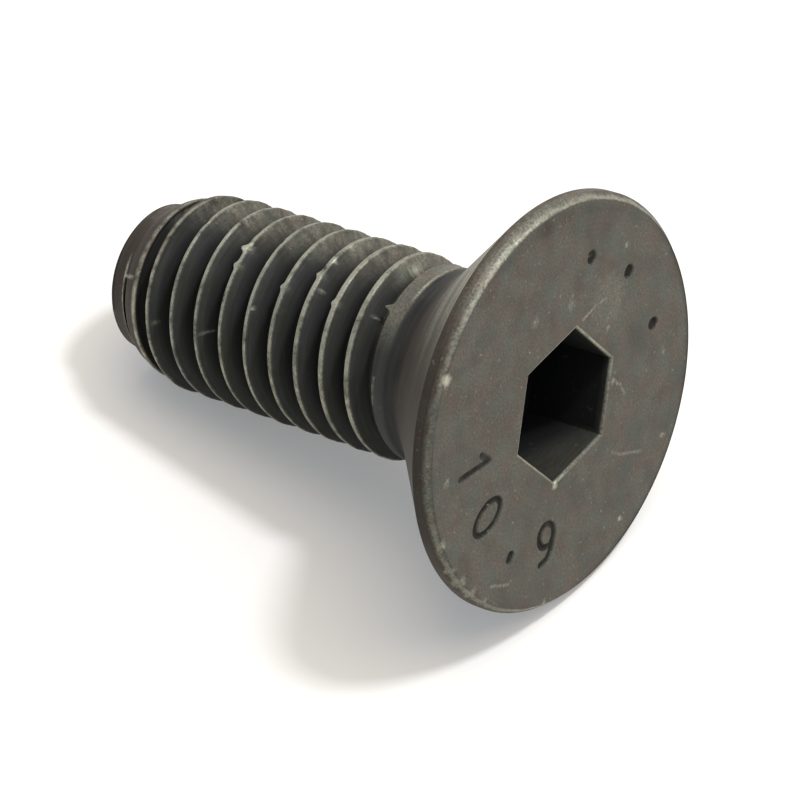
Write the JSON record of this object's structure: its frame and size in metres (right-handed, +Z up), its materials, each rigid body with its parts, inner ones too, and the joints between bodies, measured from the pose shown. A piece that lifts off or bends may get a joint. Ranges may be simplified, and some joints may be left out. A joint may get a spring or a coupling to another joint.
{
  "type": "countersunk socket screw",
  "caption": "Countersunk hexagon-socket machine screw with a flat head, coned seat, plain neck and full right-hand thread to a tapered point.",
  "frame": {"origin": "on the surface the screw lies on, under the middle of its bounding box", "axes": "+Z up from the surface; +X towards the head, so the screw's axis lies in the XZ plane and rises towards the head; +Y completes a right-handed set"},
  "size_m": [0.022, 0.0158, 0.0154],
  "materials": {
    "black_oxide_steel": "black oxide, satin"
  },
  "bodies": {
    "root": {"countersunk_screw": "black_oxide_steel"}
  },
  "joints": []
}
